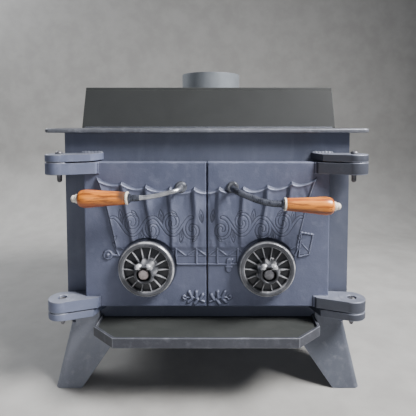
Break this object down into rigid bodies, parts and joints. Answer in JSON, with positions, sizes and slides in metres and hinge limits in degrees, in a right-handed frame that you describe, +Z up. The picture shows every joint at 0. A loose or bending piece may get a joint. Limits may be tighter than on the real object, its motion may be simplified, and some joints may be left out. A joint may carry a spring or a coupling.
{
  "type": "double-door wood stove",
  "caption": "Plate-steel wood stove with a stepped cooking top, hinged cast doors with wooden handles, screw-out draft wheels, ash shelf and splayed legs.",
  "frame": {"origin": "middle of the base of the stove's box, on the floor", "axes": "+X to the right as seen from the front, -Y out of the doors, +Z up"},
  "size_m": [0.816, 0.737, 0.861],
  "materials": {
    "body_plate": "stove paint over steel plate, worn grey-blue",
    "top_plate": "flat charcoal heat-resistant paint",
    "door_iron": "blued grey cast iron with a sand-cast skin",
    "lug_steel": "grey-blue forged plate, worn at the edges",
    "leg_steel": "light grey-blue paint, scuffed",
    "collar_steel": "grey paint over rolled sheet",
    "pin_steel": "bare steel, dulled",
    "wheel_iron": "dark cast iron polished bright on its rim and hub",
    "handle_steel": "dark forged rod, polished near the door",
    "grip_wood": "varnished turned hardwood",
    "trim_ceramic": "cream, satin",
    "firebrick": "buff refractory brick, sooty",
    "gasket_rope": "woven glass-fibre rope",
    "inner_steel": "scaled steel inside the firebox"
  },
  "bodies": {
    "root": {"left_side_plate": "body_plate", "right_side_plate": "body_plate", "back_plate": "body_plate", "floor_plate": "body_plate", "front_plate": "body_plate", "lower_top_plate": "top_plate", "step_riser": "top_plate", "upper_top_plate": "top_plate", "flue_collar": "collar_steel", "floor_firebricks": "firebrick", "left_firebricks": "firebrick", "right_firebricks": "firebrick", "rear_firebricks": "firebrick", "brick_retainers": "inner_steel", "ash_shelf_rim": "top_plate", "ash_shelf_plate": "top_plate", "hinge_washers": "pin_steel", "latch_keepers": "inner_steel", "left_front_leg": "leg_steel", "left_rear_leg": "leg_steel", "left_upper_hinge_lug": "lug_steel", "left_upper_hinge_pin": "pin_steel", "left_lower_hinge_lug": "lug_steel", "left_lower_hinge_pin": "pin_steel", "right_front_leg": "leg_steel", "right_rear_leg": "leg_steel", "right_upper_hinge_lug": "lug_steel", "right_upper_hinge_pin": "pin_steel", "right_lower_hinge_lug": "lug_steel", "right_lower_hinge_pin": "pin_steel"},
    "left_door": {"left_door": "door_iron", "left_door_gasket": "gasket_rope", "left_handle_bushing": "handle_steel", "left_draft_stud": "pin_steel", "left_draft_nut": "inner_steel"},
    "left_handle": {"left_handle_rod": "handle_steel", "left_handle_ferrule": "trim_ceramic", "left_handle_grip": "grip_wood", "left_handle_end_knob": "trim_ceramic", "left_latch_tongue": "inner_steel", "left_latch_nut": "inner_steel"},
    "left_draft_carrier": {"left_draft_washer": "pin_steel"},
    "left_draft_wheel": {"left_draft_wheel": "wheel_iron"},
    "right_door": {"right_door": "door_iron", "right_door_gasket": "gasket_rope", "right_handle_bushing": "handle_steel", "right_draft_stud": "pin_steel", "right_draft_nut": "inner_steel"},
    "right_handle": {"right_handle_rod": "handle_steel", "right_handle_ferrule": "trim_ceramic", "right_handle_grip": "grip_wood", "right_handle_end_knob": "trim_ceramic", "right_latch_tongue": "inner_steel", "right_latch_nut": "inner_steel"},
    "right_draft_carrier": {"right_draft_washer": "pin_steel"},
    "right_draft_wheel": {"right_draft_wheel": "wheel_iron"}
  },
  "joints": [
    {"name": "left_door_swing", "type": "hinge", "parent": "root", "child": "left_door", "pos_m": [-0.361, -0.2905, 0.4055], "axis": [0, 0, -1], "range_deg": [0, 110]},
    {"name": "left_handle_turn", "type": "hinge", "parent": "left_door", "child": "left_handle", "pos_m": [-0.064, -0.2835, 0.526], "axis": [0, 1, 0], "range_deg": [-40, 45]},
    {"name": "left_draft_travel", "type": "slide", "parent": "left_door", "child": "left_draft_carrier", "axis": [0, -1, 0], "range_m": [-0.00963, 0.00701]},
    {"name": "left_draft_turn", "type": "hinge", "parent": "left_draft_carrier", "child": "left_draft_wheel", "pos_m": [-0.149, -0.3055, 0.325], "axis": [0, -1, 0], "range_deg": [-1980, 1440]},
    {"name": "right_door_swing", "type": "hinge", "parent": "root", "child": "right_door", "pos_m": [0.361, -0.2905, 0.4055], "axis": [0, 0, 1], "range_deg": [0, 110]},
    {"name": "right_handle_turn", "type": "hinge", "parent": "right_door", "child": "right_handle", "pos_m": [0.064, -0.2835, 0.526], "axis": [0, -1, 0], "range_deg": [-40, 45]},
    {"name": "right_draft_travel", "type": "slide", "parent": "right_door", "child": "right_draft_carrier", "axis": [0, -1, 0], "range_m": [-0.00963, 0.00701]},
    {"name": "right_draft_turn", "type": "hinge", "parent": "right_draft_carrier", "child": "right_draft_wheel", "pos_m": [0.149, -0.3055, 0.325], "axis": [0, -1, 0], "range_deg": [-1980, 1440]}
  ],
  "couplings": [
    {"joint": "left_draft_travel", "follows": "left_draft_turn", "m_per_rad": 0.00027852},
    {"joint": "right_draft_travel", "follows": "right_draft_turn", "m_per_rad": 0.00027852}
  ]
}
